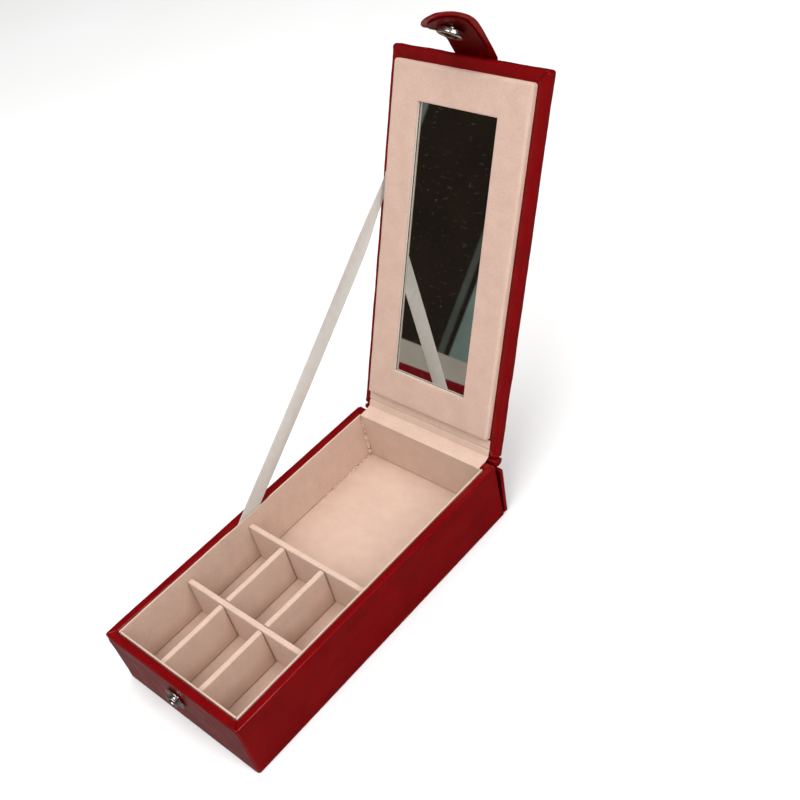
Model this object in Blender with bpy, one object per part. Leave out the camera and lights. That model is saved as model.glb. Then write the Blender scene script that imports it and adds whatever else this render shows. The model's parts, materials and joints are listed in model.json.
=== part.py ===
"""Leather jewellery case: a divided tray, a padded lid with a mirror, and a snap strap.

Units are metres, +Z is up. The origin is the centre of the tray's underside. +X is the right side,
-Y the front with the snap stud, and +Y the back, where the lid and the spine are hinged.
The lid, the strap and the spine are modelled closed, under empties on their hinge axes, and the
empties then turn them to the stored pose: lid open against its ribbon, strap in its own curl.
"""

import math

import bmesh
import bpy
from mathutils import Matrix

MM = 0.001

# Driving dimensions
CASE_WIDTH = 98 * MM
TRAY_LENGTH = 187 * MM
TRAY_HEIGHT = 36.2 * MM
LID_LENGTH = 189 * MM
LID_WIDTH = 93 * MM
LID_OPEN_ANGLE = math.radians(114.2)
HINGE_BEHIND_TRAY = 2.5 * MM
HINGE_HEIGHT = 37.2 * MM
SPINE_TILT = math.radians(4)
STRAP_LENGTH = 34.5 * MM
STRAP_WIDTH = 26.2 * MM
STRAP_FIRST_HEADING = math.radians(60)
SNAP_TURN = math.radians(18)
STUD_HEIGHT = 22 * MM

# Stock thicknesses and the air left between neighbours
LEATHER = 0.8 * MM
BOARD = 2.5 * MM
CARD = 1.1 * MM
GAP = 0.3 * MM
RIM = 2 * LEATHER + 2 * GAP + BOARD

# Tray inside
TURN_IN = 9.5 * MM
FLOOR_CARD = 2.0 * MM
LINING_DROP = 0.3 * MM
DIVIDER = 3.2 * MM
DIVIDER_DROP = 5.6 * MM
REAR_CROSS_Y = -1.8 * MM
FRONT_CROSS_Y = -45.1 * MM
LONG_DIVIDER_X = {"left": -15.2 * MM, "right": 13.2 * MM}

# Lid build, as distances from its inner face
LID_THICKNESS = 6.9 * MM
LID_BORDER = 12 * MM
PANEL_RISE = 3.8 * MM
PANEL_HALF_WIDTH = 41.6 * MM
PANEL_REAR = 9.5 * MM
PANEL_FRONT = 183 * MM
WINDOW_HALF_WIDTH = 24 * MM
WINDOW_REAR = 27.5 * MM
WINDOW_FRONT = 165.5 * MM
MIRROR_OVERLAP = 3 * MM
MIRROR_GLASS = 1.3 * MM
VELVET = 0.6 * MM

# Ribbon stay
RIBBON_WIDTH = 10 * MM
RIBBON_THICKNESS = 0.35 * MM
RIBBON_TRAY_Y = 1.7 * MM
RIBBON_LID_S = 119 * MM
RIBBON_TAIL = 9 * MM

# Strap plies and snap
STRAP_OUTER_PLY = 1.1 * MM
STRAP_INNER_PLY = 0.7 * MM
STRAP_BORDER = 2.8 * MM
SNAP_SEGMENTS = 24
SOCKET_DEPTH = 2.6 * MM
SOCKET_OFF_WALL = 1.6 * MM
SOCKET_TO_PLY = 0.6 * MM
RIVET_HOLE = 2.1 * MM

HALF_WIDTH = CASE_WIDTH / 2
HALF_LENGTH = TRAY_LENGTH / 2
INNER_HALF_WIDTH = HALF_WIDTH - RIM
INNER_HALF_LENGTH = HALF_LENGTH - RIM
FLOOR_TOP = LEATHER + 2 * GAP + BOARD + FLOOR_CARD
ROOM_HALF_WIDTH = INNER_HALF_WIDTH - GAP - CARD
ROOM_HALF_LENGTH = INNER_HALF_LENGTH - GAP - CARD
HINGE_Y = HALF_LENGTH + HINGE_BEHIND_TRAY
STRAP_HALF = (STRAP_OUTER_PLY + GAP + STRAP_INNER_PLY) / 2
STRAP_AXIS_S = LID_LENGTH + 1.2 * MM
STRAP_AXIS_DEPTH = 4.6 * MM
STRAP_AXIS_FORWARD = STRAP_AXIS_S - HINGE_Y
STRAP_AXIS_Z = HINGE_HEIGHT + STRAP_AXIS_DEPTH
SPINE_AXIS_Y = HALF_LENGTH + 0.5 * MM
SPINE_AXIS_Z = 1.0 * MM

COLOURS = {
    "greyboard": ((0.33, 0.29, 0.24), 0.9, 0.0),
    "red_leather": ((0.20, 0.004, 0.006), 0.35, 0.0),
    "velvet": ((0.66, 0.46, 0.37), 0.95, 0.0),
    "foam": ((0.75, 0.73, 0.66), 0.9, 0.0),
    "nickel": ((0.62, 0.60, 0.56), 0.25, 1.0),
    "mirror_glass": ((0.85, 0.87, 0.86), 0.03, 1.0),
    "satin_ribbon": ((0.75, 0.73, 0.69), 0.4, 0.0),
}


def material(name):
    """The Principled material of that name, made the first time it is asked for."""
    found = bpy.data.materials.get(name)
    if found:
        return found
    colour, roughness, metallic = COLOURS[name]
    made = bpy.data.materials.new(name)
    made.use_nodes = True
    shader = made.node_tree.nodes["Principled BSDF"]
    shader.inputs["Base Color"].default_value = (*colour, 1)
    shader.inputs["Roughness"].default_value = roughness
    shader.inputs["Metallic"].default_value = metallic
    return made


def piece(name, shape, finish, parent=None):
    """An object made from a bmesh, with its faces pointing out."""
    bmesh.ops.recalc_face_normals(shape, faces=shape.faces)
    mesh = bpy.data.meshes.new(name)
    shape.to_mesh(mesh)
    shape.free()
    mesh.materials.append(material(finish))
    made = bpy.data.objects.new(name, mesh)
    bpy.context.scene.collection.objects.link(made)
    made.parent = parent
    return made


def pivot(name, location, turn, parent=None):
    """An empty on a hinge axis, turned about X."""
    made = bpy.data.objects.new(name, None)
    bpy.context.scene.collection.objects.link(made)
    made.location = location
    made.rotation_euler = (turn, 0, 0)
    made.parent = parent
    return made


def box_shape(low, high):
    """A bmesh box between two corners."""
    shape = bmesh.new()
    bmesh.ops.create_cube(shape, size=1)
    for vert in shape.verts:
        vert.co = [a + (b - a) * (c + 0.5) for a, b, c in zip(low, high, vert.co)]
    return shape


def box(name, low, high, finish, parent=None, bevel=0.0):
    """A board or card: a box, with its edges taken off by bevel."""
    made = piece(name, box_shape(low, high), finish, parent)
    if bevel:
        edge = made.modifiers.new("edges", "BEVEL")
        edge.width = bevel
        edge.segments = 2
        edge.limit_method = "ANGLE"
    return made


def ring(x0, x1, y0, y1, radius, z, steps=3):
    """The points of a rectangle with round corners, at height z."""
    radius = max(radius, 0.3 * MM)
    points = []
    corners = ((x1, y1, 0), (x0, y1, 90), (x0, y0, 180), (x1, y0, 270))
    for x, y, start in corners:
        cx = x - radius if x == x1 else x + radius
        cy = y - radius if y == y1 else y + radius
        for k in range(steps + 1):
            a = math.radians(start + 90 * k / steps)
            points.append((cx + radius * math.cos(a), cy + radius * math.sin(a), z))
    return points


def inset_ring(half_width, y0, y1, radius, inset, z):
    """A ring that is smaller than half_width, y0 and y1 by inset on every side."""
    return ring(inset - half_width, half_width - inset, y0 + inset, y1 - inset, radius - inset, z)


def loft(name, rings, finish, parent=None, closed=False):
    """A skin over rings of equally many points: closed on itself, or capped at both ends."""
    shape = bmesh.new()
    rows = [[shape.verts.new(p) for p in points] for points in rings]
    count = len(rows[0])
    pairs = list(zip(rows, rows[1:]))
    if closed:
        pairs.append((rows[-1], rows[0]))
    for a, b in pairs:
        for i in range(count):
            j = (i + 1) % count
            shape.faces.new((a[i], a[j], b[j], b[i]))
    if not closed:
        shape.faces.new(rows[0])
        shape.faces.new(rows[-1])
    return piece(name, shape, finish, parent)


def turned(name, profile, centre, finish, parent=None, solid=False):
    """A profile of (radius, forward distance) in millimetres, turned about an axis along Y.

    A solid one is capped at both ends of its profile; any other is a ring with a hole through it.
    """
    x, y, z = centre
    rings = []
    for r, h in profile:
        points = []
        for k in range(SNAP_SEGMENTS):
            a = 2 * math.pi * k / SNAP_SEGMENTS
            points.append((x + r * MM * math.cos(a), y - h * MM, z + r * MM * math.sin(a)))
        rings.append(points)
    made = loft(name, rings, finish, parent, closed=not solid)
    made.data.shade_smooth()
    made.data.set_sharp_from_angle(angle=math.radians(40))
    return made


def strip(name, path, widths, thickness, finish, parent=None):
    """A band of even thickness along a path of (y, z, heading); widths are its half widths."""
    rings = []
    for (y, z, heading), half in zip(path, widths):
        across_y = math.sin(heading) * thickness / 2
        across_z = -math.cos(heading) * thickness / 2
        rings.append(
            [
                (-half, y - across_y, z - across_z),
                (half, y - across_y, z - across_z),
                (half, y + across_y, z + across_z),
                (-half, y + across_y, z + across_z),
            ]
        )
    return loft(name, rings, finish, parent)


def cut(target, cutter):
    """Takes cutter, a guide that isn't shown, out of target."""
    cutter.hide_render = True
    cutter.display_type = "WIRE"
    hole = target.modifiers.new("cut", "BOOLEAN")
    hole.operation = "DIFFERENCE"
    hole.object = cutter


def drill(target, centre, parent=None):
    """A rivet hole along Y through target."""
    shape = bmesh.new()
    bmesh.ops.create_cone(
        shape,
        cap_ends=True,
        segments=16,
        radius1=RIVET_HOLE,
        radius2=RIVET_HOLE,
        depth=12 * MM,
        matrix=Matrix.Translation(centre) @ Matrix.Rotation(math.pi / 2, 4, "X"),
    )
    cut(target, piece("drill_" + target.name, shape, "nickel", parent))


def mirror_image(low, high):
    """The same box on the other side of the middle plane x = 0."""
    return (-high[0], low[1], low[2]), (-low[0], high[1], high[2])


def build_tray():
    """Base, wall boards and the leather that wraps them and turns in over the rim."""
    loft(
        "base_cover",
        [
            inset_ring(HALF_WIDTH, -HALF_LENGTH, HALF_LENGTH, 1.5 * MM, 0, 0),
            inset_ring(HALF_WIDTH, -HALF_LENGTH, HALF_LENGTH, 1.5 * MM, 0, LEATHER),
        ],
        "red_leather",
    )
    skin = LEATHER + GAP
    wall_x, wall_y = HALF_WIDTH - skin, HALF_LENGTH - skin
    bottom = LEATHER + GAP
    board_x, board_y = wall_x - BOARD - GAP, wall_y - BOARD - GAP
    box("bottom_board", (-board_x, -board_y, bottom), (board_x, board_y, bottom + BOARD), "greyboard")
    top = TRAY_HEIGHT - skin
    low, high = (wall_x - BOARD, -wall_y, bottom), (wall_x, wall_y, top)
    box("right_wall_board", low, high, "greyboard")
    box("left_wall_board", *mirror_image(low, high), "greyboard")
    end_x = wall_x - BOARD - GAP
    front = box(
        "front_wall_board", (-end_x, -wall_y, bottom), (end_x, BOARD - wall_y, top), "greyboard"
    )
    box("rear_wall_board", (-end_x, wall_y - BOARD, bottom), (end_x, wall_y, top), "greyboard")
    edge = 1.2 * MM
    facet = 0.35 * MM
    profile = (
        (0, bottom),
        (0, TRAY_HEIGHT - edge),
        (facet, TRAY_HEIGHT - facet),
        (edge, TRAY_HEIGHT),
        (RIM - edge, TRAY_HEIGHT),
        (RIM - facet, TRAY_HEIGHT - facet),
        (RIM, TRAY_HEIGHT - edge),
        (RIM, TRAY_HEIGHT - TURN_IN),
        (RIM - LEATHER, TRAY_HEIGHT - TURN_IN),
        (RIM - LEATHER, TRAY_HEIGHT - LEATHER),
        (LEATHER, TRAY_HEIGHT - LEATHER),
        (LEATHER, bottom),
    )
    wrap = loft(
        "tray_leather",
        [inset_ring(HALF_WIDTH, -HALF_LENGTH, HALF_LENGTH, 1.5 * MM, a, z) for a, z in profile],
        "red_leather",
        closed=True,
    )
    drill(wrap, (0, -HALF_LENGTH, STUD_HEIGHT))
    drill(front, (0, -HALF_LENGTH + 3 * MM, STUD_HEIGHT))


def build_linings():
    """Velvet-covered cards on the floor and the four walls."""
    floor = LEATHER + 2 * GAP + BOARD
    x, y = INNER_HALF_WIDTH - GAP, INNER_HALF_LENGTH - GAP
    box("floor_lining", (-x, -y, floor), (x, y, FLOOR_TOP), "velvet")
    low, top = FLOOR_TOP + GAP, TRAY_HEIGHT - LINING_DROP
    corner = (x - CARD, -y, low), (x, y, top)
    box("right_lining", *corner, "velvet")
    left = box("left_lining", *mirror_image(*corner), "velvet")
    end_x = x - CARD - GAP
    box("front_lining", (-end_x, -y, low), (end_x, CARD - y, top), "velvet")
    box("rear_lining", (-end_x, y - CARD, low), (end_x, y, top), "velvet")
    pocket = piece(
        "ribbon_pocket",
        box_shape(
            (-x - GAP, RIBBON_TRAY_Y - 18 * MM, TRAY_HEIGHT - RIBBON_TAIL - 5 * MM),
            (-x + GAP + RIBBON_THICKNESS, RIBBON_TRAY_Y + 10 * MM, TRAY_HEIGHT + 1 * MM),
        ),
        "velvet",
    )
    cut(left, pocket)


def build_dividers():
    """Two velvet-covered cards across the tray, and four along it between them."""
    low, top = FLOOR_TOP + GAP, TRAY_HEIGHT - DIVIDER_DROP
    half = DIVIDER / 2
    x = ROOM_HALF_WIDTH - GAP
    for name, y in (("rear", REAR_CROSS_Y), ("front", FRONT_CROSS_Y)):
        box(
            name + "_cross_divider",
            (-x, y - half, low),
            (x, y + half, top),
            "velvet",
            bevel=0.8 * MM,
        )
    rows = {
        "middle": (FRONT_CROSS_Y + half + GAP, REAR_CROSS_Y - half - GAP),
        "front": (GAP - ROOM_HALF_LENGTH, FRONT_CROSS_Y - half - GAP),
    }
    for row, (y0, y1) in rows.items():
        for side, centre in LONG_DIVIDER_X.items():
            box(
                row + "_" + side + "_divider",
                (centre - half, y0, low),
                (centre + half, y1, top),
                "velvet",
                bevel=0.8 * MM,
            )


def build_stud():
    """The half of the snap on the front wall, and the rivet that holds it from inside."""
    face = -HALF_LENGTH - GAP
    stud = (
        (2.0, 0), (6.0, 0), (6.4, 0.3), (6.4, 0.8), (6.0, 1.0), (5.5, 0.7), (3.4, 0.7), (3.2, 1.0),
        (3.2, 1.8), (3.7, 2.2), (3.7, 2.7), (3.4, 3.1), (2.9, 3.1), (2.9, 1.0), (2.0, 1.0),
    )
    turned("snap_stud", stud, (0, face, STUD_HEIGHT), "nickel")
    inside = -HALF_LENGTH + RIM - LEATHER
    end = (inside - face) / MM + 1.3
    rivet = (
        (3.2, -0.8), (3.6, -0.6), (3.6, -0.2), (3.2, 0), (1.7, 0), (1.7, end), (2.5, end),
        (2.3, end + 0.3),
    )
    turned("stud_rivet", rivet, (0, inside, STUD_HEIGHT), "nickel", solid=True)


def build_lid(lid):
    """Board, foam and leather of the lid, which runs from the hinge to the free edge along -Y."""
    top = LID_THICKNESS
    profile = (
        (2.4 * MM, top), (0.7 * MM, top - 0.6 * MM), (0, top - 2.2 * MM), (0, 0.8 * MM),
        (0.3 * MM, 0.2 * MM), (1.0 * MM, 0), (LID_BORDER, 0), (LID_BORDER, LEATHER),
        (LEATHER, LEATHER), (LEATHER, top - 2.2 * MM), (1.6 * MM, top - LEATHER - 0.4 * MM),
        (2.8 * MM, top - LEATHER),
    )
    rings = [inset_ring(LID_WIDTH / 2, -LID_LENGTH, 0, 1.3 * MM, a, z) for a, z in profile]
    loft("lid_leather", rings, "red_leather", lid)
    skin = LEATHER + GAP
    x, rear, front = LID_WIDTH / 2 - skin, -skin, skin - LID_LENGTH
    box("lid_board", (-x, front, skin), (x, rear, skin + BOARD), "greyboard", lid, bevel=0.4 * MM)
    low, high = skin + BOARD + GAP, top - skin
    ease = 1.6 * MM
    box("lid_foam", (ease - x, front + ease, low), (x - ease, rear - ease, high), "foam", lid)
    x = LID_WIDTH / 2 - LID_BORDER - GAP
    rear, front = -LID_BORDER - GAP, LID_BORDER + GAP - LID_LENGTH
    box("mirror_backing", (-x, front, 0), (x, rear, LEATHER), "greyboard", lid)
    above = top + GAP + LEATHER / 2
    path = (
        (22 * MM - LID_LENGTH, above, math.pi),
        (3.0 * MM - LID_LENGTH, above, math.radians(186)),
        (0.2 * MM - LID_LENGTH, above - 0.8 * MM, math.radians(225)),
        (-0.75 * MM - LID_LENGTH, above - 2.1 * MM, math.radians(262)),
    )
    strip("strap_anchor", path, [STRAP_WIDTH / 2] * 4, LEATHER, "red_leather", lid)


def build_panel(lid):
    """The raised velvet panel inside the lid, its window, and the mirror behind it."""
    edge = VELVET + GAP
    x, rear, front = PANEL_HALF_WIDTH, -PANEL_REAR, -PANEL_FRONT

    def outer(inset, depth):
        return ring(inset - x, x - inset, front + inset, rear - inset, 1.5 * MM - inset, -depth)

    def window(margin, depth):
        half = WINDOW_HALF_WIDTH + margin
        return ring(-half, half, -WINDOW_FRONT - margin, margin - WINDOW_REAR, 0.3 * MM, -depth)

    card_low = 2.0 * MM
    card_high = PANEL_RISE - VELVET - GAP
    spacer_margin = MIRROR_OVERLAP + GAP
    spacer_high = card_low - GAP
    spacer = loft(
        "mirror_spacer",
        [
            outer(edge, GAP),
            outer(edge, spacer_high),
            window(spacer_margin, spacer_high),
            window(spacer_margin, GAP),
        ],
        "greyboard",
        lid,
        closed=True,
    )
    loft(
        "panel_card",
        [outer(edge, card_low), outer(edge, card_high), window(0, card_high), window(0, card_low)],
        "greyboard",
        lid,
        closed=True,
    )
    velvet = loft(
        "panel_velvet",
        [
            outer(0, GAP),
            outer(0, PANEL_RISE - 0.6 * MM),
            outer(0.6 * MM, PANEL_RISE),
            window(0, PANEL_RISE),
            window(0, PANEL_RISE - VELVET),
            outer(VELVET, PANEL_RISE - VELVET),
            outer(VELVET, GAP),
        ],
        "velvet",
        lid,
        closed=True,
    )
    half = WINDOW_HALF_WIDTH + MIRROR_OVERLAP
    box(
        "mirror",
        (-half, -WINDOW_FRONT - MIRROR_OVERLAP, -GAP - MIRROR_GLASS),
        (half, MIRROR_OVERLAP - WINDOW_REAR, -GAP),
        "mirror_glass",
        lid,
    )
    for target in (spacer, velvet):
        notch = piece(
            "notch_" + target.name,
            box_shape(
                (-PANEL_HALF_WIDTH - 2 * MM, -RIBBON_LID_S - 12 * MM, -1.0 * MM),
                (-PANEL_HALF_WIDTH + 8 * MM, -RIBBON_LID_S + 12 * MM, 0.1 * MM),
            ),
            "velvet",
            lid,
        )
        cut(target, notch)


def lid_point(s, depth):
    """(y, z) in the stored pose of a point at s from the hinge and depth in from the inner face."""
    a = math.pi - LID_OPEN_ANGLE
    y = HINGE_Y + s * math.cos(a) - depth * math.sin(a)
    z = HINGE_HEIGHT + s * math.sin(a) + depth * math.cos(a)
    return y, z


def build_ribbon():
    """The stay: a flat ribbon from a pocket behind the left lining to a tab under the panel."""
    foot = (RIBBON_TRAY_Y, TRAY_HEIGHT)
    head = lid_point(RIBBON_LID_S, 0)
    length = math.dist(foot, head)
    along = ((head[0] - foot[0]) / length, (head[1] - foot[1]) / length)
    side = (-along[1] * RIBBON_WIDTH / 2, along[0] * RIBBON_WIDTH / 2)
    tail = RIBBON_TAIL / along[1]
    lid_along = (math.cos(math.pi - LID_OPEN_ANGLE), math.sin(math.pi - LID_OPEN_ANGLE))
    face = lid_point(0, GAP + RIBBON_THICKNESS / 2)
    corners = [
        (foot[0] - side[0] - tail * along[0], foot[1] - side[1] - tail * along[1]),
        (foot[0] + side[0] - tail * along[0], foot[1] + side[1] - tail * along[1]),
    ]
    reached = []
    for sign in (1, -1):
        start = (foot[0] + sign * side[0], foot[1] + sign * side[1])
        off_y, off_z = face[0] - start[0], face[1] - start[1]
        turn = along[0] * lid_along[1] - along[1] * lid_along[0]
        t = (off_y * lid_along[1] - off_z * lid_along[0]) / turn
        corners.append((start[0] + t * along[0], start[1] + t * along[1]))
        reached.append((off_y * along[1] - off_z * along[0]) / turn)
    x = -(INNER_HALF_WIDTH - GAP)
    stay = loft(
        "ribbon_stay",
        [[(x + shift, y, z) for y, z in corners] for shift in (0, RIBBON_THICKNESS)],
        "satin_ribbon",
    )
    tab = piece(
        "ribbon_tab",
        box_shape(
            (x + 0.1 * MM, -max(reached), -GAP - RIBBON_THICKNESS),
            (x + 8.5 * MM, -min(reached), -GAP),
        ),
        "satin_ribbon",
        bpy.data.objects["lid_pivot"],
    )
    tab.hide_render = True
    tab.display_type = "WIRE"
    join = stay.modifiers.new("tab", "BOOLEAN")
    join.operation = "UNION"
    join.object = tab


def build_spine(spine):
    """The stiff back flap, its leather, and the leather hinge above it, modelled upright."""
    inner = HALF_LENGTH + GAP - SPINE_AXIS_Y
    board = 1.5 * MM
    outer = inner + board + GAP + LEATHER
    low, high = 0.6 * MM - SPINE_AXIS_Z, 30.4 * MM - SPINE_AXIS_Z
    x = HALF_WIDTH
    profile = (
        (0.6 * MM, outer), (0, outer - 0.6 * MM), (0, inner), (LEATHER, inner),
        (LEATHER, outer - LEATHER - 0.3 * MM), (LEATHER + 0.3 * MM, outer - LEATHER),
    )
    rings = []
    for a, back in profile:
        flat = ring(a - x, x - a, low + a, high - a, 1.2 * MM - a, back)
        rings.append([(across, y, up) for across, up, y in flat])
    loft("spine_leather", rings, "red_leather", spine)
    edge = LEATHER + GAP
    low, high = low + edge, high - edge
    box("spine_board", (edge - x, inner, low), (x - edge, inner + board, high), "greyboard", spine)
    top = high + edge
    path = (
        (outer - 0.5 * MM, top + 0.5 * MM, math.radians(90)),
        (outer - 0.5 * MM, top + 2.4 * MM, math.radians(98)),
        (outer - 1.1 * MM, top + 3.9 * MM, math.radians(122)),
        (outer - 2.2 * MM, top + 5.0 * MM, math.radians(142)),
    )
    strip("hinge_leather", path, [x - 2.6 * MM] * 4, LEATHER, "red_leather", spine)


def build_hinge_lining():
    """The velvet strip over the rear rim and up the lid, as it lies with the lid open."""
    half = VELVET / 2
    lid_heading = math.pi - LID_OPEN_ANGLE
    over_rim = TRAY_HEIGHT + GAP + half
    path = [
        (INNER_HALF_LENGTH - GAP - CARD, over_rim, 0),
        (HALF_LENGTH - 1.0 * MM, over_rim, 0),
        (HINGE_Y - 1.6 * MM, over_rim + 0.6 * MM, lid_heading / 2),
    ]
    for s in (2.0 * MM, 5.0 * MM, PANEL_REAR - GAP):
        path.append((*lid_point(s, GAP + half), lid_heading))
    strip("hinge_lining", path, [INNER_HALF_WIDTH - 2 * MM] * len(path), VELVET, "velvet")


def strap_station(along, offset):
    """(y, z, heading) on the snapped strap: an arc out from the lid, then straight down."""
    first, last = STRAP_FIRST_HEADING, math.pi / 2
    reach = HALF_LENGTH - STRAP_AXIS_FORWARD + SOCKET_OFF_WALL + SOCKET_DEPTH
    reach += SOCKET_TO_PLY + STRAP_HALF
    radius = reach / (math.sin(last) - math.sin(first))
    arc = radius * (last - first)
    heading = first + min(along, arc) / radius
    forward = radius * (math.sin(heading) - math.sin(first))
    down = radius * (math.cos(first) - math.cos(heading)) + max(0.0, along - arc)
    y = -forward - offset * math.sin(heading)
    z = -down + offset * math.cos(heading)
    return y, z, heading + math.pi


def build_strap(strap):
    """Two plies of leather with the socket half of the snap, modelled snapped to the stud."""
    height = STUD_HEIGHT - STRAP_AXIS_Z
    plies = (
        ("strap_leather", STRAP_OUTER_PLY, STRAP_HALF - STRAP_OUTER_PLY / 2, 0),
        ("strap_lining", STRAP_INNER_PLY, STRAP_INNER_PLY / 2 - STRAP_HALF, STRAP_BORDER),
    )
    tip = STRAP_LENGTH - STRAP_WIDTH / 2
    for name, thickness, offset, border in plies:
        half = STRAP_WIDTH / 2 - border
        alongs = [1 * MM + (tip - 1 * MM) * k / 8 for k in range(8)]
        widths = [half] * 8
        for degrees in (0, 20, 40, 55, 68, 80):
            turn = math.radians(degrees)
            alongs.append(tip + half * math.sin(turn))
            widths.append(half * math.cos(turn))
        path = [strap_station(along, offset) for along in alongs]
        made = strip(name, path, widths, thickness, "red_leather", strap)
        drill(made, (0, -6 * MM, height), strap)
    rim = (0, STRAP_AXIS_FORWARD - HALF_LENGTH - SOCKET_OFF_WALL, height)
    socket = (
        (4.15, 0), (6.0, 0), (6.4, 0.4), (6.4, 2.2), (6.0, 2.6), (2.1, 2.6), (2.1, 2.1), (4.9, 2.1),
        (4.9, 0.6), (4.15, 0.6),
    )
    turned("snap_socket", socket, rim, "nickel", strap)
    spring = ((4.0, 0.9), (4.6, 0.9), (4.6, 1.5), (4.0, 1.5))
    turned("socket_spring", spring, rim, "nickel", strap)
    back = (SOCKET_DEPTH + SOCKET_TO_PLY + 2 * STRAP_HALF + GAP) / MM
    cap = (
        (2.2, 1.4), (2.4, 1.5), (2.4, 1.8), (1.7, 1.8), (1.7, back), (5.6, back),
        (6.2, back + 0.4), (6.2, back + 0.6), (5.2, back + 1.2), (2.6, back + 1.6),
    )
    turned("snap_cap", cap, rim, "nickel", strap, solid=True)


def main():
    for old in list(bpy.data.objects):
        bpy.data.objects.remove(old)
    lid = pivot("lid_pivot", (0, HINGE_Y, HINGE_HEIGHT), -LID_OPEN_ANGLE)
    strap = pivot("strap_pivot", (0, -STRAP_AXIS_S, STRAP_AXIS_DEPTH), -SNAP_TURN, lid)
    spine = pivot("spine_pivot", (0, SPINE_AXIS_Y, SPINE_AXIS_Z), -SPINE_TILT)
    build_tray()
    build_linings()
    build_dividers()
    build_stud()
    build_lid(lid)
    build_panel(lid)
    build_ribbon()
    build_spine(spine)
    build_hinge_lining()
    build_strap(strap)


main()
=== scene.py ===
"""Leather jewellery case: red leatherette over board, velvet-lined, with a mirror in the lid.

Lengths are millimetres until a mesh is made, which is then in metres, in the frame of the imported
model: +X right, -Y front, +Z up. The lid's own surfaces are worked out as (x, s, d): across it,
along it from the hinge, and in from its inner face, and lid_place turns them to the open pose.
"""
import json
import math

import bpy
import numpy as np
from mathutils import Euler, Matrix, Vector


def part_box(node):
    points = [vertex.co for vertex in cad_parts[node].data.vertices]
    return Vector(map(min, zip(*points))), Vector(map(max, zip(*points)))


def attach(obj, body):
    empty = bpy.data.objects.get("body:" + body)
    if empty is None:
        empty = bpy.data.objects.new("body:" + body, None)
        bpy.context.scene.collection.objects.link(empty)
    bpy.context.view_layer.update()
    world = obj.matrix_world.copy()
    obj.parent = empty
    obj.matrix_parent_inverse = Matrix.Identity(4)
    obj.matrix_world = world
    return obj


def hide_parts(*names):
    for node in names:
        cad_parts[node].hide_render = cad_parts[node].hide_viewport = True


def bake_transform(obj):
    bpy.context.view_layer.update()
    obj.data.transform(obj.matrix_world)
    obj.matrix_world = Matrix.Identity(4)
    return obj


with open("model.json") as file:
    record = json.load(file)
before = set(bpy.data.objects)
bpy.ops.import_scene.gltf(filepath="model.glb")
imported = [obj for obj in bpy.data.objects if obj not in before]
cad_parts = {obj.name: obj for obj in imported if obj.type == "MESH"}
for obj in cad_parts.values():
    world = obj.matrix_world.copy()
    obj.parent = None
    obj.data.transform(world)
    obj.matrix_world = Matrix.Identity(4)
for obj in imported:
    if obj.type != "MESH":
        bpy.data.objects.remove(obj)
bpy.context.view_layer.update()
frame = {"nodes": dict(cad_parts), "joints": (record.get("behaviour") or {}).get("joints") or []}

MM = 0.001
# Points of one mesh that are nearer than this, in millimetres, are one point.
SAME = 0.002

# The leather's thickness, the width of the tray's rim, and the angles of the open pose: the lid
# from closed, the spine from upright, and the strap from its snapped shape.
LEATHER = 0.8
RIM = 4.7
LID_OPEN = math.radians(114.2)
SPINE_LEAN = math.radians(4)
SNAP_TURN = math.radians(18)


# ---------------------------------------------------------------- places read from the frame


def node_box(*names):
    """Lowest and highest corner of some CAD nodes together, in millimetres."""
    corners = np.array([[list(c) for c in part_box(name)] for name in names]) / MM
    return corners[:, 0].min(0), corners[:, 1].max(0)


def joint_place(name):
    """(y, z) of a hinge axis, in millimetres."""
    found = [joint for joint in frame["joints"] if joint["name"] == name][0]
    return np.array(found["pos_m"][1:]) / MM


HINGE_Y, HINGE_Z = joint_place("lid_hinge")
STRAP_Y, STRAP_Z = joint_place("strap_hinge")
SPINE_Y, SPINE_Z = joint_place("spine_hinge")

# The tray, and the height where the leather that is turned in over its rim ends.
TRAY_HALF, TRAY_HALF_LENGTH, TRAY_TOP = node_box("tray_leather", "base_cover")[1]
TURN_IN_END = 26.7

# The lid, its raised panel and the mirror's window: half widths, places along the lid, and how
# far the velvet's face and back stand in from the lid's inner face.
LID_HALF = node_box("lid_leather")[1][0]
LID_LENGTH, LID_THICK = 189.0, 6.9
PANEL_HALF = node_box("panel_velvet")[1][0]
PANEL_REAR, PANEL_FRONT = 9.5, 183.0
PANEL_RISE, VELVET_BACK = 3.8, 3.05
WINDOW_HALF, WINDOW_REAR, WINDOW_FRONT = 24.0, 27.5, 165.5

# The ribbon: its half width and hidden tail, its place along the rim, and along the lid.
RIBBON_HALF_WIDTH, RIBBON_TAIL = 5, 14
RIBBON_ON_RIM, RIBBON_ON_LID = 1.7, 119

# The strap: its size, its first heading below level, and how much more one edge curls.
STRAP_LENGTH, STRAP_HALF_WIDTH, STRAP_HALF_THICK = 34.5, 13.1, 1.05
STRAP_FIRST = math.radians(60)
STRAP_TWIST = 0.16

# The snapped strap, with the lid closed: its hinge ahead of the tray's middle and above the
# floor, the socket's gap to the front wall, its depth and gap to the strap, the stud's height.
STRAP_AXIS_FORWARD, STRAP_AXIS_UP = LID_LENGTH + 1.2 - HINGE_Y, HINGE_Z + 4.6
SOCKET_OFF_WALL, SOCKET_DEPTH, SOCKET_TO_PLY = 1.6, 2.6, 0.6
STUD_HEIGHT = 22.0


def turn(y, z, angle):
    """(y, z) turned about +X by angle."""
    c, s = math.cos(angle), math.sin(angle)
    return y * c - z * s, y * s + z * c


def lid_place(points):
    """(x, s, d) of the lid as (x, y, z) of the open pose: closed is y = -s, z = -d, then turned."""
    y, z = turn(-points[..., 1], -points[..., 2], -LID_OPEN)
    return np.stack((points[..., 0], y + HINGE_Y, z + HINGE_Z), -1)


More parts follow.
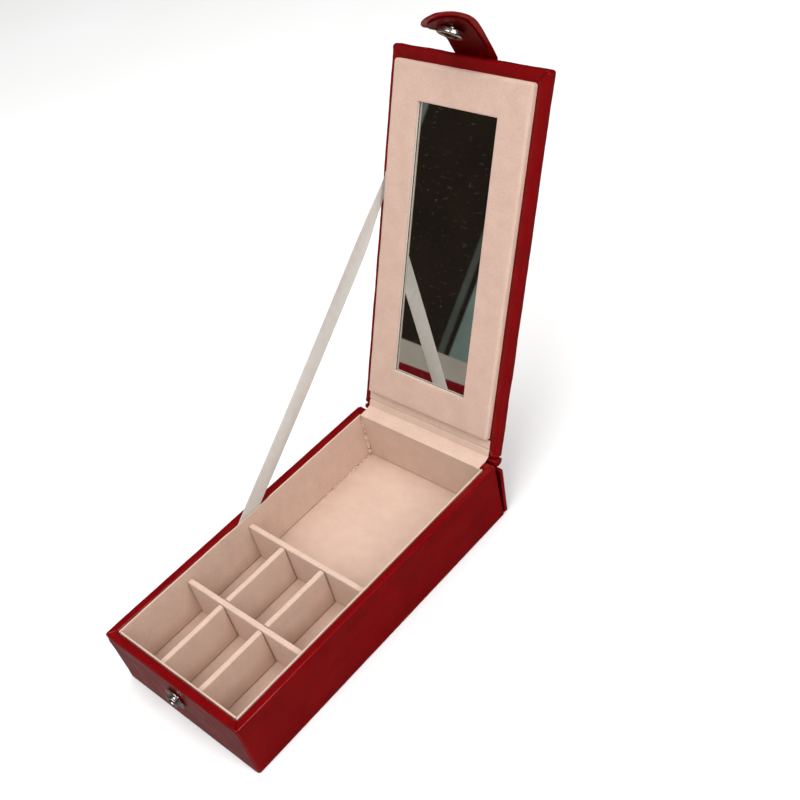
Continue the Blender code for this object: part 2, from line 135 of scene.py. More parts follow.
def strap_place(points):
    """(x, forward, down) of the snapped strap from its hinge, as (x, y, z) of the open pose."""
    y, z = turn(-points[..., 1], -points[..., 2], -SNAP_TURN - LID_OPEN)
    return np.stack((points[..., 0], y + STRAP_Y, z + STRAP_Z), -1)


def spine_place(points):
    """(x, back, up) of the upright spine from its hinge, as (x, y, z) of the open pose."""
    y, z = turn(points[..., 1], points[..., 2], -SPINE_LEAN)
    return np.stack((points[..., 0], y + SPINE_Y, z + SPINE_Z), -1)


def on_side(place, pairs):
    """(y, z) of the open pose, for points given on a body's side without their x."""
    pairs = np.asarray(pairs, float)
    return place(np.column_stack((0 * pairs[:, 0], pairs)))[:, 1:]


# ---------------------------------------------------------------- surfaces


def waves(points, length, seed, count=7):
    """A smooth uneven height from -1 to 1: the mean of plane sine waves in seeded directions."""
    draw = np.random.default_rng(seed)
    heading = draw.normal(size=(count, 3))
    heading /= np.linalg.norm(heading, axis=1, keepdims=True)
    pitch = 2 * math.pi / (length * draw.uniform(0.7, 1.5, (count, 1)))
    return np.sin(points @ (heading * pitch).T + draw.uniform(0, 6.28, count)).sum(-1) / count * 1.8


def bump(x, width):
    """1 at 0, falling smoothly as a bell of that width."""
    return np.exp(-((x / width) ** 2))


def ramp(x, low, high):
    """0 below low, 1 above high, smooth between."""
    t = np.clip((x - low) / (high - low), 0, 1)
    return t * t * (3 - 2 * t)


def eased(count):
    """0 to 1 in steps that are close together at both ends: half a cosine."""
    return 0.5 - 0.5 * np.cos(np.linspace(0, math.pi, count))


def unit(vectors):
    """Vectors made one long."""
    return vectors / np.linalg.norm(vectors, axis=-1, keepdims=True)


def smoothed(line, times):
    """A line whose inner points are moved to (before + 2 itself + after) / 4, some times over."""
    line = line.copy()
    for _ in range(times):
        line[1:-1] = (line[:-2] + 2 * line[1:-1] + line[2:]) / 4
    return line


def arc(centre, radius, start, end, count=5):
    """Points (a, b) on a circle's arc, angles in degrees."""
    angle = np.radians(np.linspace(start, end, count))
    return [(centre[0] + radius * math.cos(t), centre[1] + radius * math.sin(t)) for t in angle]


def spaced(profile, step):
    """A profile with its long stretches cut into equal parts no longer than step."""
    profile = [np.array(p, float) for p in profile]
    out = [profile[0]]
    for a, b in zip(profile, profile[1:]):
        parts = max(1, int(math.ceil(np.linalg.norm(b - a) / step)))
        out += [a + (b - a) * k / parts for k in range(1, parts + 1)]
    return np.array(out)


def outline(half_x, y0, y1, radius, inset, side, corner):
    """Points round a rectangle with round corners, a row of them for each inset from its edge.

    Each point is centre + k (H - R) + n (R - inset): k is the corner it belongs to, or a place
    between two; n its outward normal; H the half size; R the corner radius, or inset if larger.
    It gives the points and n.
    """
    ks, ns = [], []
    corners = [(1, 1), (-1, 1), (-1, -1), (1, -1)]
    for number, (cx, cy) in enumerate(corners):
        angle = math.radians(90 * number) + np.linspace(0, math.pi / 2, corner)
        ks.append(np.tile((cx, cy), (corner, 1)))
        ns.append(np.stack((np.cos(angle), np.sin(angle)), 1))
        nx, ny = corners[(number + 1) % 4]
        t = eased(side)[1:-1, None]
        ks.append((1 - t) * np.array((cx, cy)) + t * np.array((nx, ny)))
        ns.append(np.tile((math.cos(angle[-1]), math.sin(angle[-1])), (side - 2, 1)))
    k, n = np.concatenate(ks), np.concatenate(ns)
    inset = np.asarray(inset, float)[:, None, None]
    round_at = np.maximum(radius, inset)
    size = np.array((half_x, (y1 - y0) / 2))
    middle = np.array((0, (y0 + y1) / 2))
    return middle + k * (size - round_at) + n * (round_at - inset), n


def with_height(points, height):
    """Rows of (x, y) as rows of (x, y, z), with one z for each row."""
    column = np.broadcast_to(height[:, None, None], points.shape[:2] + (1,))
    return np.concatenate((points, column), -1)


def from_edges(grid, half_x, middle_y, half_y):
    """How far points are in from the further edge at a corner, and how far off its diagonal."""
    gone_x = half_x - abs(grid[..., 0])
    gone_y = half_y - abs(grid[..., 1] - middle_y)
    return np.maximum(gone_x, gone_y), (gone_x - gone_y) / math.sqrt(2)


def flat_ring(count):
    """Places across a band and back, from -1 to 1, and the height of its round edge at each.

    The height is the fourth root of 1 - u^4, with u the place across: 0 at both edges.
    """
    u = -np.cos(np.linspace(0, math.pi, count))
    edge = (1 - u**4).clip(0) ** 0.25
    return np.concatenate((u, u[-2:0:-1])), np.concatenate((edge, -edge[-2:0:-1]))


def grid_faces(rows, columns, wrap_rows, wrap_columns):
    """Quads between the neighbours of a grid of points."""
    index = np.arange(rows * columns).reshape(rows, columns)
    if wrap_rows:
        index = np.vstack((index, index[:1]))
    if wrap_columns:
        index = np.hstack((index, index[:, :1]))
    corners = (index[:-1, :-1], index[1:, :-1], index[1:, 1:], index[:-1, 1:])
    return np.stack(corners, -1).reshape(-1, 4)


def solid(
    name, grid, finish, body=None, wrap_rows=False, caps=(0, -1), stands_for=(), sharp=50
):
    """A closed piece over a grid (rows, columns, 3) whose columns close on themselves.

    Its first and last rows are joined, or each row in caps is closed with a fan. A row whose
    points fall together in pairs needs no cap: points that fall together become one.
    """
    rows, columns = grid.shape[:2]
    faces = grid_faces(rows, columns, wrap_rows, True)
    points = grid.reshape(-1, 3)
    for row in () if wrap_rows else caps:
        ring = row % rows * columns + np.arange(columns)
        hub = np.full(columns, len(points))
        points = np.vstack((points, grid[row].mean(0)))
        fan = np.stack((ring, np.roll(ring, -1), hub, hub), 1)
        faces = np.vstack((faces, fan if row == 0 else fan[:, ::-1]))
    return made(name, points, faces, finish, body, stands_for, sharp)


def made(name, points, faces, finish, body, stands_for=(), sharp=50):
    """An object from points in millimetres and quads, some of which may be triangles."""
    _, first, same = np.unique(
        np.round(points / SAME).astype(np.int64), axis=0, return_index=True, return_inverse=True
    )
    points, faces = points[first], same.reshape(-1)[faces]
    a, b, c, d = (points[faces[:, i]] for i in range(4))
    volume = (a * np.cross(b, c)).sum() + (a * np.cross(c, d)).sum()
    if volume < 0:
        faces = faces[:, ::-1]
    polygons = []
    for face in faces.tolist():
        corners = [v for i, v in enumerate(face) if v != face[i - 1]]
        if len(set(corners)) == len(corners) and len(corners) > 2:
            polygons.append(corners)
    mesh = bpy.data.meshes.new(name)
    mesh.from_pydata((points * MM).tolist(), [], polygons)
    mesh.update()
    mesh.shade_smooth()
    mesh.set_sharp_from_angle(angle=math.radians(sharp))
    mesh.materials.append(finish)
    piece = bpy.data.objects.new(name, mesh)
    bpy.context.scene.collection.objects.link(piece)
    if stands_for:
        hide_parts(*stands_for)
    if body:
        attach(piece, body)
    return piece


def band(line, half_widths, thickness, across, lift):
    """A thin band as a grid for solid: a flat tube with rounded edges round a line of (y, z).

    Row by row along the line, columns go across the upper side and back along the lower one.
    The offset along the line's normal is thickness/2 times flat_ring's height, plus lift.
    """
    ahead = unit(np.gradient(line, axis=0))
    normal = np.stack((-ahead[:, 1], ahead[:, 0]), 1)
    u, edge = flat_ring(across)
    x = u[None, :] * half_widths[:, None]
    off = (edge * thickness / 2)[None, :] + lift(x, line)
    y = line[:, None, 0] + normal[:, None, 0] * off
    z = line[:, None, 1] + normal[:, None, 1] * off
    return np.stack((x, y, z), -1)


def card(name, node, radius, shape, step):
    """A velvet-covered card: a box whose points are pulled onto a rounded one.

    Each point p of the box goes to q + r (p - q) / |p - q|, with q the nearest point of the box
    that is smaller by r all round. shape then moves the points.
    """
    low, high = node_box(node)
    radius = np.minimum(radius, (high - low).min() * 0.499)
    ticks = []
    for a, b in zip(low, high):
        parts = max(2, int((b - a - 2 * radius) / step) + 2)
        edge = np.array((0, 0.3, 0.62, 0.86)) * radius
        middle = np.linspace(a + radius, b - radius, parts)
        ticks.append(np.concatenate((a + edge, middle, b - edge[::-1])))
    points, faces, count = [], [], 0
    for axis in range(3):
        i, j = [k for k in range(3) if k != axis]
        for end in (low[axis], high[axis]):
            one, two = np.meshgrid(ticks[i], ticks[j], indexing="ij")
            side = np.zeros(one.shape + (3,))
            side[..., i], side[..., j], side[..., axis] = one, two, end
            quads = grid_faces(*one.shape, False, False) + count
            if (end == high[axis]) == (axis == 1):
                quads = quads[:, ::-1]
            points.append(side.reshape(-1, 3))
            faces.append(quads)
            count += one.size
    points, faces = np.concatenate(points), np.concatenate(faces)
    core = np.clip(points, low + radius, high - radius)
    off = points - core
    points = core + radius * off / np.linalg.norm(off, axis=1, keepdims=True)
    return made(name, shape(points), faces, VELVET, "tray", (node,))


def lathe(name, profile, centre, axis, body, stands_for, closed):
    """A nickel piece turned on a lathe: a profile of (radius, height) carried round an axis.

    The axis runs through centre, square to +X. A closed profile makes a ring, another starts and
    ends on the axis.
    """
    profile = np.array(profile, float)
    angle = np.linspace(0, 2 * math.pi, 72, endpoint=False)
    across, axis = np.array((1.0, 0, 0)), np.array(axis, float)
    other = np.cross(axis, across)
    spoke = np.cos(angle)[:, None] * across + np.sin(angle)[:, None] * other
    grid = centre + profile[:, None, :1] * spoke[None] + profile[:, None, 1:] * axis
    return solid(name, grid, NICKEL, body, closed, (0, -1), stands_for, 38)


# ---------------------------------------------------------------- materials


# The part of its range that a noise mostly keeps to.
NOISE_SPAN = (0.3, 0.7)


def linear(text):
    """An sRGB hex colour as linear red, green, blue and alpha."""
    parts = [int(text[i : i + 2], 16) / 255 for i in (1, 3, 5)]
    return [c / 12.92 if c <= 0.04045 else ((c + 0.055) / 1.055) ** 2.4 for c in parts] + [1.0]


def add(tree, kind, inputs=(), **settings):
    """A node with its settings; each input is a value, or the socket to link it from."""
    node = tree.nodes.new(kind)
    for key, value in settings.items():
        setattr(node, key, value)
    for key, value in dict(inputs).items():
        if isinstance(value, bpy.types.NodeSocket):
            tree.links.new(value, node.inputs[key])
        else:
            node.inputs[key].default_value = value
    return node


def start(name, **sockets):
    """A material, its tree, its Principled shader with those sockets set, and Object coordinates."""
    finish = bpy.data.materials.new(name)
    finish.use_nodes = True
    tree = finish.node_tree
    shader = tree.nodes["Principled BSDF"]
    for key, value in sockets.items():
        shader.inputs[key.replace("_", " ")].default_value = value
    place = add(tree, "ShaderNodeTexCoord").outputs["Object"]
    return finish, tree, shader, place


def noise(tree, place, scale, detail):
    """A noise from 0 to 1, mostly 0.3 to 0.7, with about scale waves to the metre."""
    inputs = {"Vector": place, "Scale": scale, "Detail": detail}
    return add(tree, "ShaderNodeTexNoise", inputs).outputs[0]


def ranged(tree, value, old, new=(0.0, 1.0)):
    """A value carried from the range old to the range new, and held there."""
    inputs = {"Value": value, "From Min": old[0], "From Max": old[1]}
    inputs.update({"To Min": new[0], "To Max": new[1]})
    return add(tree, "ShaderNodeMapRange", inputs).outputs[0]


def mixed(tree, share, low, high):
    """A colour between two by share; each is an sRGB hex or a socket."""
    mix = add(tree, "ShaderNodeMix", {"Factor": share}, data_type="RGBA")
    for socket, colour in zip(mix.inputs[6:8], (low, high)):
        if isinstance(colour, str):
            socket.default_value = linear(colour)
        else:
            tree.links.new(colour, socket)
    return mix.outputs[2]


def blotches(tree, place, size, detail, low, high, stretch=(1, 1, 1)):
    """A colour between low and high by a noise whose patches are size metres wide."""
    mapped = add(tree, "ShaderNodeMapping", {"Vector": place, "Scale": stretch}).outputs[0]
    spread = ranged(tree, noise(tree, mapped, 1 / size, detail), NOISE_SPAN)
    return mixed(tree, spread, low, high)


def relief(tree, shader, height, distance, below=None):
    """Bump of that height in metres, on top of another bump if one is given."""
    inputs = {"Height": height, "Distance": distance, "Strength": 1.0}
    if below is not None:
        inputs["Normal"] = below
    out = add(tree, "ShaderNodeBump", inputs).outputs[0]
    tree.links.new(out, shader.inputs["Normal"])
    return out


def leatherette(name, dark, light, roughness, coat):
    """PU-coated leatherette, embossed and lacquered: a soft gloss over a fine pebble grain.

    The grain's cells are 0.45 mm wide and 25 microns deep, and the cloth backing shows as a slow
    unevenness about 9 mm across.
    """
    finish, tree, shader, place = start(
        name, Roughness=roughness, IOR=1.45, Coat_Weight=coat, Coat_Roughness=0.16
    )
    shader.inputs["Specular IOR Level"].default_value = 0.36
    shader.inputs["Specular Tint"].default_value = linear("#ff7070")
    colour = blotches(tree, place, 0.011, 4, dark, light)
    tree.links.new(colour, shader.inputs["Base Color"])
    slow = noise(tree, place, 110, 2)
    under = relief(tree, shader, slow, 0.00022)
    inputs = {"Vector": place, "Scale": 2200, "Randomness": 0.9}
    cells = add(tree, "ShaderNodeTexVoronoi", inputs, feature="SMOOTH_F1").outputs["Distance"]
    relief(tree, shader, cells, 0.000025, under)
    gloss = ranged(tree, slow, NOISE_SPAN, (roughness - 0.06, roughness + 0.08))
    tree.links.new(gloss, shader.inputs["Roughness"])
    return finish


def velvet(name, low, high):
    """Short-pile flocked velvet: matt, a little lighter at grazing angles, brushed in patches.

    Patches where the pile leans are 9 mm across; its tufts, really 0.1 mm, are drawn at 0.5 mm.
    """
    finish, tree, shader, place = start(
        name, Roughness=1.0, Sheen_Weight=0.35, Sheen_Roughness=0.45, Sheen_Tint=linear("#fbe8dc")
    )
    shader.inputs["Specular IOR Level"].default_value = 0.08
    patch = blotches(tree, place, 0.009, 3, low, high, (1, 1.6, 1))
    tuft = noise(tree, place, 1900, 3)
    shade = {0: patch, "Scale": ranged(tree, tuft, NOISE_SPAN, (0.90, 1.09))}
    speckled = add(tree, "ShaderNodeVectorMath", shade, operation="SCALE").outputs[0]
    tree.links.new(speckled, shader.inputs["Base Color"])
    relief(tree, shader, tuft, 0.00012)
    return finish


def board(name, low, high):
    """Grey board, pressed from waste paper: matt, in specks about 1.2 mm long at its cut edge."""
    finish, tree, shader, place = start(name, Roughness=0.92)
    colour = blotches(tree, place, 0.0012, 5, low, high, (1, 1, 3))
    tree.links.new(colour, shader.inputs["Base Color"])
    relief(tree, shader, noise(tree, place, 1600, 4), 0.00005)
    return finish


def nickel(name, low, high, roughness):
    """Nickel-plated pressed brass: bright, with faint drawing marks 0.3 mm apart."""
    finish, tree, shader, place = start(name, Metallic=1.0, Roughness=roughness)
    colour = blotches(tree, place, 0.002, 3, low, high)
    tree.links.new(colour, shader.inputs["Base Color"])
    marks = noise(tree, place, 3300, 2)
    relief(tree, shader, marks, 0.000012)
    rough = ranged(tree, marks, (0.0, 1.0), (roughness - 0.08, roughness + 0.14))
    tree.links.new(rough, shader.inputs["Roughness"])
    return finish


def silvered(name):
    """Float glass silvered on its back: a clear, slightly green reflection under a little dust.

    The dust and finger marks are 3 mm wide; they change the gloss, and the thickest dull it.
    """
    finish, tree, shader, place = start(name, Metallic=1.0)
    colour = blotches(tree, place, 0.02, 2, "#d3d4d0", "#dcdcd8")
    tree.links.new(colour, shader.inputs["Base Color"])
    rough = ranged(tree, noise(tree, place, 330, 6), (0.5, 0.8), (0.008, 0.035))
    tree.links.new(rough, shader.inputs["Roughness"])
    streaked = add(tree, "ShaderNodeMapping", {"Vector": place, "Scale": (1, 2.2, 2.2)}).outputs[0]
    clear = ranged(tree, noise(tree, streaked, 300, 5), (0.60, 0.78), (1.0, 0.965))
    tree.links.new(clear, shader.inputs["Metallic"])
    return finish


def satin(name):
    """Polyester satin ribbon: long floats across a fine warp, so a soft lengthways sheen.

    Warp threads, really 0.15 mm apart, are drawn at 1 mm so that they show.
    """
    finish, tree, shader, place = start(
        name, Roughness=0.42, Sheen_Weight=0.10, Sheen_Roughness=0.3, Anisotropic=0.5
    )
    colour = blotches(tree, place, 0.004, 3, "#c6c3be", "#cecbc6")
    tree.links.new(colour, shader.inputs["Base Color"])
    # The warp runs along the taut ribbon, from the rim to the lid.
    lean = -math.atan2(0.615, 0.788)
    turned = add(tree, "ShaderNodeMapping", {"Vector": place, "Rotation": (lean, 0, 0)}).outputs[0]
    inputs = {"Vector": turned, "Scale": 320, "Distortion": 0.6, "Detail": 1}
    warp = add(tree, "ShaderNodeTexWave", inputs, bands_direction="Z").outputs["Fac"]
    relief(tree, shader, warp, 0.00003)
    return finish


def padding(name):
    """Bonded polyester wadding: off-white and fluffy, with clumps 2 mm wide."""
    finish, tree, shader, place = start(name, Roughness=1.0)
    colour = blotches(tree, place, 0.002, 5, "#d6d2c6", "#efece4")
    tree.links.new(colour, shader.inputs["Base Color"])
    relief(tree, shader, noise(tree, place, 700, 4), 0.0002)
    return finish


RED = leatherette("red_embossed_leatherette", "#690104", "#750306", 0.36, 0.30)
# The strap's inner ply: the red leatherette drawn darker and duller. The darkness is partly its own
# inset leather and partly painted shade, because it faces down, away from the light.
RED_DARK_PAINTED_SHADE = leatherette("strap_leatherette_painted_shade", "#470103", "#520204", 0.42, 0.03)
VELVET = velvet("peach_flocked_velvet", "#c9ad9d", "#d0b4a3")
# The panel's velvet is the tray's velvet drawn darker: painted shade that holds back the stronger
# light the panel gets from the front.
PANEL_VELVET_PAINTED_SHADE = velvet("peach_velvet_painted_shade", "#c0a294", "#c6a999")
BOARD = board("grey_board_cut_edge", "#cdc3b3", "#e4dccd")
NICKEL = nickel("nickel_plated_snap", "#d3d0c8", "#e6e3dc", 0.24)
MIRROR = silvered("silvered_float_glass")
SATIN = satin("white_satin_ribbon_weave")
WADDING = padding("bonded_wadding")


# ---------------------------------------------------------------- tray


def tray_cover():
    """Leather over the tray: a profile of (inset, height) carried round the rounded outline.

    It runs from the underside up the wall, over the rim and down inside, then back along the
    leather's inner side. Walls and rim get slow waves, and each rim corner a mitre: the height
    falls by a narrow bell of the distance from the corner's diagonal, beside a low lap.
    """
    bend = 1.15
    top = TRAY_TOP
    outer = [(5, 0.0), (0.9, 0.0)] + arc((0.9, 0.9), 0.9, 250, 190, 4) + [(0, 1.4), (0, top - bend)]
    outer += arc((bend, top - bend), bend, 170, 95, 7) + [(bend, top), (RIM - bend, top)]
    outer += arc((RIM - bend, top - bend), bend, 85, 5, 7)
    inside = RIM - LEATHER
    back = [(RIM, TURN_IN_END), (inside, TURN_IN_END), (inside, top - LEATHER)]
    back += [(LEATHER, top - LEATHER), (LEATHER, LEATHER), (5, LEATHER)]
    profile = spaced(outer + back, 0.8)
    wall = spaced([(0, 1.4), (0, top - bend)], 2.4)
    keep = (profile[:, 0] > 0.001) | (profile[:, 1] < 1.41) | (profile[:, 1] > top - bend - 0.01)
    keep |= np.min(abs(profile[:, 1:] - wall[:, 1]), axis=1) < 0.3
    profile = profile[keep]
    inset, height = profile.T
    xy, n = outline(TRAY_HALF, -TRAY_HALF_LENGTH, TRAY_HALF_LENGTH, 1.5, inset, 96, 8)
    grid = with_height(xy, height)
    showing = (np.arange(len(profile)) < len(profile) - len(spaced(back[1:], 0.8)) + 1)[:, None]
    on_wall = ramp(height, 2, 8) * (1 - ramp(height, top - 4, top - 1.2)) * (inset < 0.5)
    dent = on_wall[:, None] * (0.10 * waves(grid, 46, 3) + 0.05 * waves(grid, 17, 4) - 0.12)
    grid[..., :2] += n * dent[..., None]
    flat = ramp(height, top - 1.3, top - 0.3)[:, None] * showing
    grid[..., 2] += flat * (0.07 * waves(grid, 22, 5) + 0.04 * waves(grid, 7, 6) - 0.1)
    inward, off = from_edges(grid, TRAY_HALF, 0, TRAY_HALF_LENGTH)
    near = (1 - ramp(inward, RIM - 0.5, RIM + 1.5)) * flat
    grid[..., 2] -= near * 0.5 * bump(off, 0.28)
    grid[..., 2] += near * 0.28 * bump(off - 1.0, 0.8)
    front_left = bump(grid[..., 0] + TRAY_HALF, 5) * bump(grid[..., 1] + TRAY_HALF_LENGTH, 7)
    fold = front_left * bump(grid[..., 2] - (top - 4.2), 3.0) * (inset < 0.5)[:, None]
    grid[..., :2] += n * (fold * 0.35 * np.sin((grid[..., 2] - top) * 1.9))[..., None]
    solid(
        "tray_cover", grid, RED, "tray",
        stands_for=("tray_leather", "base_cover"), sharp=75,
    )


def brushed(seed, depth):
    """A mover for cards: both faces and the top edge give by depth, more or less by slow waves."""

    def move(points):
        middle = (points.max(0) + points.min(0)) / 2
        half = (points.max(0) - points.min(0)) / 2
        thin = int(np.argmin(half))
        side = (points[:, thin] - middle[thin]) / half[thin]
        give = depth * (0.6 + 0.5 * waves(points, 16, seed) + 0.3 * waves(points, 5, seed + 1))
        points = points.copy()
        points[:, thin] -= side * give
        top = ramp(points[:, 2], middle[2] + half[2] - 2, middle[2] + half[2])
        points[:, 2] -= top * depth * (0.5 + 0.8 * waves(points, 11, seed + 2))
        return points

    return move


def linings():
    """Velvet-covered cards on the floor and walls.

    The left one's top stands in where the ribbon's tail goes down behind it: within 16 mm of the
    tray's middle, and more on its outer face, which is outside x = -43.5, than on its inner one.
    """
    for number, name in enumerate(("front", "rear", "left", "right", "floor")):
        soft = brushed(20 + number, 0.1)

        def shape(points, soft=soft, name=name):
            points = soft(points)
            if name == "left":
                y, z = points[:, 1], points[:, 2]
                over = ramp(y, -16, -11) * (1 - ramp(y, 12, 16)) * ramp(z, 21, 25)
                outer = points[:, 0] < -43.5
                points[:, 0] += over * np.where(outer, 0.72, 0.22)
            return points

        card(name + "_velvet", name + "_lining", 0.52, shape, 2.4)


def dividers():
    """Velvet wrapped over card: the top edge is a full round and the faces are a little hollow."""
    names = ["rear_cross", "front_cross"]
    names += [row + "_" + side for row in ("middle", "front") for side in ("left", "right")]
    for number, name in enumerate(names):
        node = name + "_divider"
        low, high = node_box(node)
        soft = brushed(50 + 3 * number, 0.1)
        thin = int(np.argmin(high - low))

        def shape(points, soft=soft, thin=thin, low=low, high=high, number=number):
            points = soft(points)
            lean = ramp(points[:, 2], low[2], high[2])
            points[:, thin] += 0.12 * lean * math.sin(2.1 * number + 1)
            end = 1 - thin
            along = (points[:, end] - low[end]) / (high[end] - low[end])
            top = ramp(points[:, 2], high[2] - 3, high[2])
            points[:, 2] -= top * 0.25 * bump(along - 0.5, 0.4)
            return points

        card(name + "_card", node, 0.75, shape, 1.8)


def gather(name, line, radius, seed):
    """A gathered ridge of velvet: a tube whose centre and radius wander with waves along a line."""
    line = line + 0.45 * np.stack([waves(line, 4.5, seed + k) for k in range(3)], -1)
    ahead = unit(np.gradient(line, axis=0))
    side = unit(np.cross(ahead, (0.6, 0.8, 0.05)))
    other = np.cross(ahead, side)
    angle = np.linspace(0, 2 * math.pi, 20, endpoint=False)[None, :, None]
    spoke = np.cos(angle) * side[:, None] + np.sin(angle) * other[:, None]
    radius = radius * (1 + 0.5 * waves(line, 3.2, seed + 3))
    grid = line[:, None] + radius[:, None, None] * spoke
    thick = ramp(radius, 0.1, 0.4)[:, None, None]
    grid += 0.24 * waves(grid, 1.9, seed + 4)[..., None] * spoke * thick
    solid(name, grid, VELVET, "tray")


def gathered_corner():
    """Velvet gathered where the left and rear linings meet, and along the floor beside it."""
    left = node_box("left_lining")[1][0]
    rear = node_box("rear_lining")[0][1]
    floor = node_box("floor_lining")[1][2]
    t = np.linspace(0, 1, 110)
    ends = ramp(t, -0.03, 0.07) * (1 - ramp(t, 0.95, 1.02))
    one = np.ones(len(t))
    height = TRAY_TOP - 3 + (floor + 3 - TRAY_TOP) * t
    down = np.stack(((left + 0.3) * one, (rear - 0.3) * one, height), 1)
    gather("gathered_corner_velvet", down, (0.7 + 0.5 * t**2) * ends, 71)
    along = np.stack(((left + 0.1) * one, rear - 1.0 - 44 * t, (floor + 0.05) * one), 1)
    gather("gathered_floor_velvet", along, (0.62 - 0.32 * t) * ends, 81)


def stud():
    """The pressed half of the snap on the front: flange with a beaded edge, waisted post, dimple."""
    low, high = node_box("snap_stud")
    centre = np.array(((low[0] + high[0]) / 2, high[1], (low[2] + high[2]) / 2))
    profile = [(2.0, 0.0), (5.9, 0.0)] + arc((5.85, 0.5), 0.5, -80, 150, 9)
    profile += [(5.1, 0.62), (4.2, 0.6), (3.5, 0.75), (3.15, 1.15), (3.1, 1.6)]
    profile += arc((3.1, 2.3), 0.62, -60, 60, 7) + arc((3.0, 2.55), 0.5, 55, 150, 6)
    profile += [(2.45, 2.3), (2.35, 1.3), (2.0, 1.0)]
    lathe("snap_stud_pressing", profile, centre, (0, -1, 0), "tray", ("snap_stud",), True)


# ---------------------------------------------------------------- lid


def lid_cover():
    """Padded leather over the lid: a profile of (inset, depth) carried round its outline.

    The outer face is a crown, highest in the middle and falling to the round edges, and the inner
    face is the turned-in border, with a lapped mitre at each corner and slow puckers.
    """
    edge = 1.3
    back = -LID_THICK
    rings = (LID_HALF, 40, 34, 28, 22, 17, 13, 10, 7.5, 5.5, 4.2, 3.2)
    outer = [(a, back - 0.7 * (1 - math.exp(-(a / 9) ** 2)) - 0.15) for a in rings]
    outer += arc((2.3, back + 2.3), 2.3, 260, 185, 8) + [(0, -3.4), (0, -2.6), (0, -1.9)]
    outer += arc((edge, -edge), edge, 175, 95, 8) + [(edge, 0), (2.2, 0.04), (3.4, 0.03), (5, 0)]
    lining = [(12, 0), (12, -LEATHER), (LEATHER, -LEATHER), (LEATHER, back + 2.2)]
    lining += [(1.6, back + 1.2), (2.8, back + LEATHER), (LID_HALF - 5, back + LEATHER)]
    profile = np.array(outer + spaced([(5, 0), (12, 0)], 1.2)[1:].tolist() + lining[1:])
    inset, depth = profile.T
    xs, n = outline(LID_HALF, 0, LID_LENGTH, 1.5, inset, 90, 8)
    grid = with_height(xs, depth)
    outside = np.arange(len(profile)) < len(outer) + 6
    swell = ramp(-depth, 1.5, 5) * ramp(LID_HALF - inset, 0, 6) * outside
    grid[..., 2] -= swell[:, None] * (0.16 * waves(grid, 30, 11) + 0.07 * waves(grid, 9, 12))
    edge_on = (inset < 1.4) * outside
    give = edge_on[:, None] * (0.12 * waves(grid, 21, 13) + 0.07 * waves(grid, 6.5, 14) - 0.12)
    grid[..., :2] += n * give[..., None]
    face = (depth > -0.6) * outside
    grid[..., 2] += face[:, None] * (0.07 * waves(grid, 13, 15) - 0.08)
    inward, off = from_edges(grid, LID_HALF, LID_LENGTH / 2, LID_LENGTH / 2)
    near = (1 - ramp(inward, 5.5, 9)) * (outside & (depth > -3))[:, None]
    grid[..., 2] -= near * 0.55 * bump(off - 0.25, 0.33)
    grid[..., 2] += near * 0.30 * bump(off + 0.9, 0.9) * ramp(inward, 0.5, 2)
    cover = solid(
        "padded_lid_cover", lid_place(grid), RED, "lid", caps=(-1,),
        stands_for=("lid_leather",), sharp=75,
    )


def panel_cover():
    """Velvet over the raised panel: rings between its outline and the mirror's window.

    Rings near the outside are the outline moved in by a; the rest share the gap out to the
    window's outline by w from 0 to 1. Depth rises round a soft edge, dips a little, and turns
    down at the window.
    """
    rise, soft = PANEL_RISE, 1.5
    rows = [(a, 0, d) for a, d in [(0.05, 0.3), (0.0, 0.9), (0, 1.5)]]
    rows += [(a, 0, d) for a, d in arc((soft, rise - soft), soft, 180, 100, 8)]
    rows += [(2.2, 0, rise + 0.02), (3.2, 0, rise)]
    rows += [(3.2, w, rise - 0.06 * math.sin(math.pi * w)) for w in np.linspace(0.08, 0.93, 9)]
    rows += [(3.2, 0.955, rise - 0.02), (3.2, 0.975, rise - 0.12), (3.2, 0.99, rise - 0.32)]
    rows += [(3.2, 1.0, rise - 0.6), (3.2, 1.0, VELVET_BACK), (3.2, 0.97, VELVET_BACK)]
    rows += [(3.2, 0, VELVET_BACK), (0.62, 0, 3.0), (0.62, 0, 0.3)]
    inset, share, depth = np.array(rows).T
    border, n = outline(PANEL_HALF, PANEL_REAR, PANEL_FRONT, 1.6, inset, 100, 8)
    window, _ = outline(WINDOW_HALF, WINDOW_REAR, WINDOW_FRONT, 0.35, 0 * inset, 100, 8)
    grid = with_height(border + (window - border) * share[:, None, None], depth)
    top = ((depth > 3.1) * (share < 0.96))[:, None]
    grid[..., 2] += top * (0.09 * waves(grid, 24, 31) + 0.05 * waves(grid, 8, 32) - 0.09)
    sides = ((inset < 0.5) * (share == 0) * (depth > 0.5))[:, None]
    grid[..., :2] += n * (sides * (0.10 * waves(grid, 15, 33) - 0.08))[..., None]
    # Its finish is the tray's velvet drawn darker as painted shade.
    cover = solid(
        "panel_velvet_cover", lid_place(grid), PANEL_VELVET_PAINTED_SHADE, "lid", wrap_rows=True,
        stands_for=("panel_velvet",), sharp=75,
    )


# ---------------------------------------------------------------- hinge side


def back_spine():
    """Leather over the stiff back flap: a profile of (inset, back) carried round its outline."""
    half = node_box("spine_leather")[1][0]
    front, rear = -0.2, 2.4
    bottom, top = -0.4, 29.4
    soft = 0.9
    under = rear - LEATHER
    profile = [(12, rear - 0.02), (6, rear - 0.02), (3, rear)]
    profile += arc((soft, rear - soft), soft, 95, 175, 7) + [(0, front + 0.5), (0.15, front)]
    profile += [(0.65, front), (LEATHER, front + 0.2), (LEATHER, under), (12, under)]
    inset, back = np.array(profile).T
    xs, _ = outline(half, bottom, top, 1.2, inset, 60, 6)
    grid = with_height(xs, back)[..., (0, 2, 1)]
    showing = (np.arange(len(profile)) < len(profile) - 3)[:, None]
    grid[..., 1] += showing * ramp(grid[..., 1], 0.5, 2) * (0.12 * waves(grid, 26, 41) - 0.1)
    solid(
        "back_spine_cover", spine_place(grid), RED, "spine",
        stands_for=("spine_leather",), sharp=75,
    )


